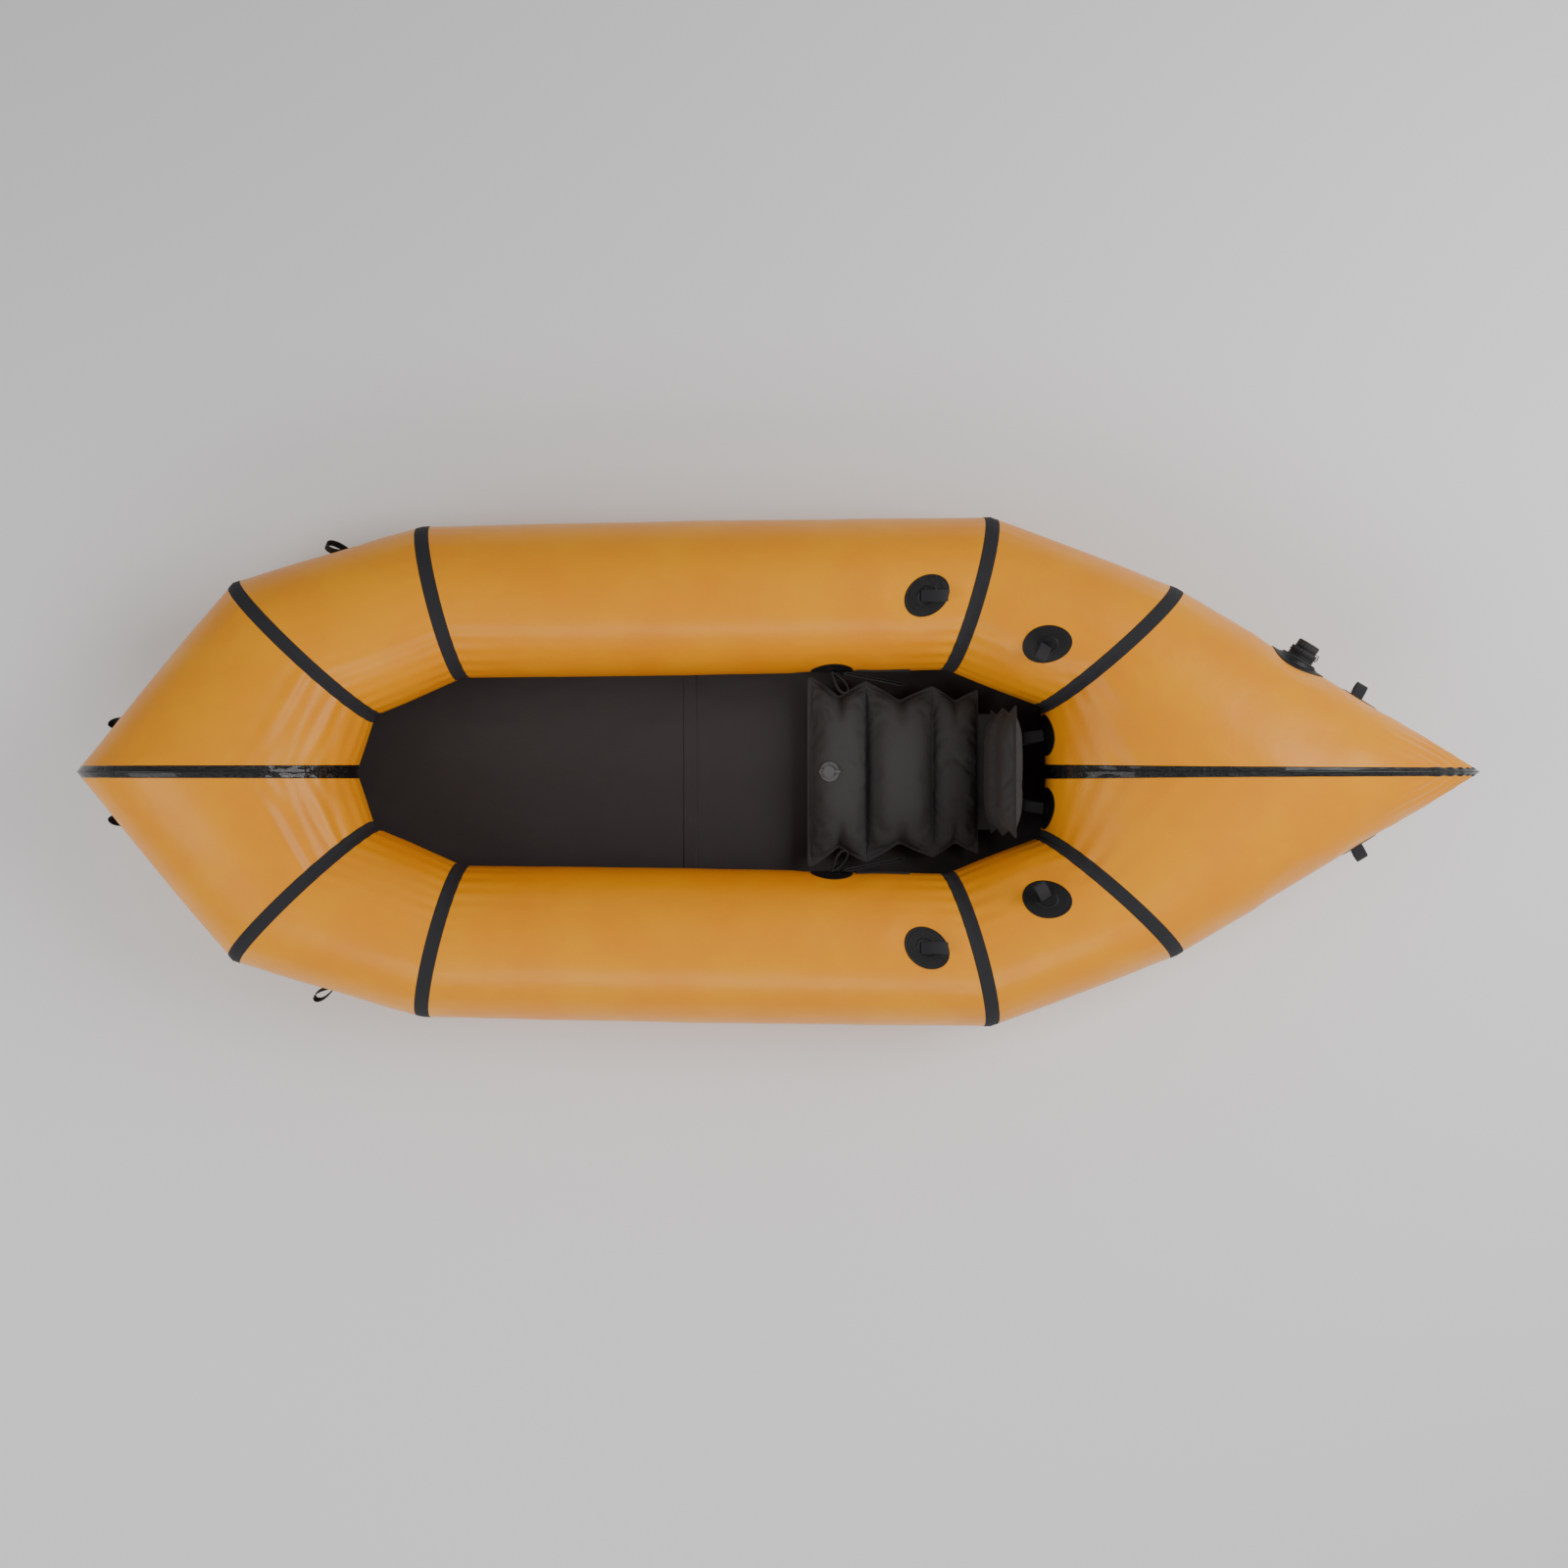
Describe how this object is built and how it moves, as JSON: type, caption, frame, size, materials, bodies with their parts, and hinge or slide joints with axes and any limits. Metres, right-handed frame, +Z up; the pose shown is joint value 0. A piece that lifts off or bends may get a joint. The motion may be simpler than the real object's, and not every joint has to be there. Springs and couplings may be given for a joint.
{
  "type": "inflatable packraft kayak",
  "caption": "Inflatable single-seat packraft with a welded tube hull, pointed stern, fabric floor, folding inflatable seat, lashing loops and a screw-capped valve.",
  "frame": {"origin": "on the ground under the middle of the boat's length and beam", "axes": "+X to the bow, +Y to port, +Z up"},
  "size_m": [2.382, 0.9054, 0.3736],
  "materials": {
    "hull_skin": "satin-gloss polyurethane-coated fabric, warm orange-yellow",
    "seam_tape": "glossy black heat-bonded tape",
    "floor_fabric": "satin black coated fabric",
    "seat_fabric": "satin black coated fabric with a fine weave",
    "patch_fabric": "satin black moulded polyurethane",
    "webbing": "matt black woven webbing",
    "valve_plastic": "moulded black plastic",
    "valve_rubber": "soft black moulded rubber",
    "seat_valve_plastic": "soft dark grey translucent plastic"
  },
  "bodies": {
    "hull": {"bow_panel_port": "hull_skin", "bow_panel_starboard": "hull_skin", "fore_shoulder_panel_port": "hull_skin", "fore_shoulder_panel_starboard": "hull_skin", "side_panel_port": "hull_skin", "side_panel_starboard": "hull_skin", "aft_shoulder_panel_port": "hull_skin", "aft_shoulder_panel_starboard": "hull_skin", "stern_panel_port": "hull_skin", "stern_panel_starboard": "hull_skin", "bow_centre_tape": "seam_tape", "bow_tape_port": "seam_tape", "bow_tape_starboard": "seam_tape", "fore_tape_port": "seam_tape", "fore_tape_starboard": "seam_tape", "aft_tape_port": "seam_tape", "aft_tape_starboard": "seam_tape", "stern_tape_port": "seam_tape", "stern_tape_starboard": "seam_tape", "stern_centre_tape": "seam_tape", "floor_fore": "floor_fabric", "floor_aft": "floor_fabric", "floor_lap_band": "floor_fabric", "floor_rim_bands": "seam_tape", "seat_top_sheet": "seat_fabric", "seat_bottom_sheet": "seat_fabric", "backrest_hinge_web": "seat_fabric", "seat_valve_stem": "seat_valve_plastic", "seat_strap_port": "webbing", "seat_strap_starboard": "webbing", "anchor_webbing": "webbing", "deck_patches": "patch_fabric", "bow_patches": "patch_fabric", "stern_patches": "patch_fabric", "cockpit_patches": "patch_fabric", "valve_patch": "patch_fabric", "valve_base": "valve_plastic", "valve_body": "valve_plastic", "valve_diaphragm": "valve_rubber", "cap_leash": "valve_rubber"},
    "backrest": {"backrest_front_sheet": "seat_fabric", "backrest_rear_sheet": "seat_fabric"},
    "deck_loop_port": {"deck_loop_port": "webbing"},
    "deck_loop_starboard": {"deck_loop_starboard": "webbing"},
    "shoulder_loop_port": {"shoulder_loop_port": "webbing"},
    "shoulder_loop_starboard": {"shoulder_loop_starboard": "webbing"},
    "bow_loop_port": {"bow_loop_port": "webbing"},
    "bow_loop_starboard": {"bow_loop_starboard": "webbing"},
    "fore_loop_port": {"fore_loop_port": "webbing"},
    "fore_loop_starboard": {"fore_loop_starboard": "webbing"},
    "stern_loop_port": {"stern_loop_port": "webbing"},
    "stern_loop_starboard": {"stern_loop_starboard": "webbing"},
    "seat_loop_port": {"seat_loop_port": "webbing"},
    "seat_loop_starboard": {"seat_loop_starboard": "webbing"},
    "backrest_loop_port": {"backrest_loop_port": "webbing"},
    "backrest_loop_starboard": {"backrest_loop_starboard": "webbing"},
    "seat_valve_plug": {"seat_valve_plug": "seat_valve_plastic"},
    "cap_ring": {"cap_ring": "valve_rubber"},
    "valve_cap": {"valve_cap": "valve_plastic"}
  },
  "joints": [
    {"name": "backrest_fold", "type": "hinge", "parent": "hull", "child": "backrest", "pos_m": [-0.41, 0, 0.04215], "axis": [0, 1, 0], "range_deg": [-2, 34], "stiffness_Nm_per_rad": 0.5},
    {"name": "deck_loop_port_swing", "type": "hinge", "parent": "hull", "child": "deck_loop_port", "pos_m": [-0.25092, 0.29889, 0.27297], "axis": [0.0163, 0.9924, 0.1219], "range_deg": [-1, 140], "stiffness_Nm_per_rad": 0.01},
    {"name": "deck_loop_starboard_swing", "type": "hinge", "parent": "hull", "child": "deck_loop_starboard", "pos_m": [-0.25092, -0.29889, 0.27297], "axis": [-0.0163, 0.9924, -0.1219], "range_deg": [-1, 140], "stiffness_Nm_per_rad": 0.01},
    {"name": "shoulder_loop_port_swing", "type": "hinge", "parent": "hull", "child": "shoulder_loop_port", "pos_m": [-0.45983, 0.21357, 0.28282], "axis": [0.8426, 0.5336, -0.0733], "range_deg": [-94, 48], "stiffness_Nm_per_rad": 0.01},
    {"name": "shoulder_loop_starboard_swing", "type": "hinge", "parent": "hull", "child": "shoulder_loop_starboard", "pos_m": [-0.45983, -0.21357, 0.28282], "axis": [-0.8426, 0.5336, 0.0733], "range_deg": [-94, 48], "stiffness_Nm_per_rad": 0.01},
    {"name": "bow_loop_port_swing", "type": "hinge", "parent": "hull", "child": "bow_loop_port", "pos_m": [1.12004, 0.09083, 0.17749], "axis": [-0.1449, -0.3066, -0.9407], "range_deg": [-113, 22], "stiffness_Nm_per_rad": 0.01},
    {"name": "bow_loop_starboard_swing", "type": "hinge", "parent": "hull", "child": "bow_loop_starboard", "pos_m": [1.12004, -0.09083, 0.17749], "axis": [0.1449, -0.3066, 0.9407], "range_deg": [-113, 22], "stiffness_Nm_per_rad": 0.01},
    {"name": "fore_loop_port_swing", "type": "hinge", "parent": "hull", "child": "fore_loop_port", "pos_m": [0.77958, 0.38502, 0.12074], "axis": [0.0092, -0.2271, -0.9738], "range_deg": [-106, 29], "stiffness_Nm_per_rad": 0.01},
    {"name": "fore_loop_starboard_swing", "type": "hinge", "parent": "hull", "child": "fore_loop_starboard", "pos_m": [0.7535, -0.39323, 0.11857], "axis": [-0.3952, -0.3291, 0.8576], "range_deg": [-127, 8], "stiffness_Nm_per_rad": 0.01},
    {"name": "stern_loop_port_swing", "type": "hinge", "parent": "hull", "child": "stern_loop_port", "pos_m": [-1.00611, 0.12756, 0.22894], "axis": [0.8139, 0.5457, -0.1994], "range_deg": [-20, 100], "stiffness_Nm_per_rad": 0.01},
    {"name": "stern_loop_starboard_swing", "type": "hinge", "parent": "hull", "child": "stern_loop_starboard", "pos_m": [-1.00611, -0.12756, 0.22894], "axis": [-0.8139, 0.5457, 0.1994], "range_deg": [-20, 100], "stiffness_Nm_per_rad": 0.01},
    {"name": "seat_loop_port_swing", "type": "hinge", "parent": "hull", "child": "seat_loop_port", "pos_m": [-0.10824, 0.17606, 0.15038], "axis": [0.0017, 0.1045, 0.9945], "range_deg": [0, 94], "stiffness_Nm_per_rad": 0.01},
    {"name": "seat_loop_starboard_swing", "type": "hinge", "parent": "hull", "child": "seat_loop_starboard", "pos_m": [-0.10824, -0.17606, 0.15038], "axis": [-0.0017, 0.1045, -0.9945], "range_deg": [0, 94], "stiffness_Nm_per_rad": 0.01},
    {"name": "backrest_loop_port_swing", "type": "hinge", "parent": "hull", "child": "backrest_loop_port", "pos_m": [-0.4786, 0.06449, 0.17102], "axis": [0.0392, 0.9845, -0.1707], "range_deg": [-12, 10], "stiffness_Nm_per_rad": 0.01},
    {"name": "backrest_loop_starboard_swing", "type": "hinge", "parent": "hull", "child": "backrest_loop_starboard", "pos_m": [-0.4786, -0.06449, 0.17102], "axis": [-0.0392, 0.9845, 0.1707], "range_deg": [-12, 10], "stiffness_Nm_per_rad": 0.01},
    {"name": "cap_lift", "type": "slide", "parent": "hull", "child": "cap_ring", "axis": [-0.5075, -0.8309, 0.228], "range_m": [0, 0.0075]},
    {"name": "cap_turn", "type": "hinge", "parent": "cap_ring", "child": "valve_cap", "pos_m": [-0.90393, -0.19213, 0.23642], "axis": [-0.5075, -0.8309, 0.228], "range_deg": [0, 900]},
    {"name": "plug_swing", "type": "hinge", "parent": "hull", "child": "seat_valve_plug", "pos_m": [-0.12829, 0, 0.08757], "axis": [0, -1, 0], "range_deg": [0, 150], "stiffness_Nm_per_rad": 0.002}
  ],
  "couplings": [
    {"joint": "cap_turn", "follows": "cap_lift", "rad_per_m": 2094.4}
  ]
}
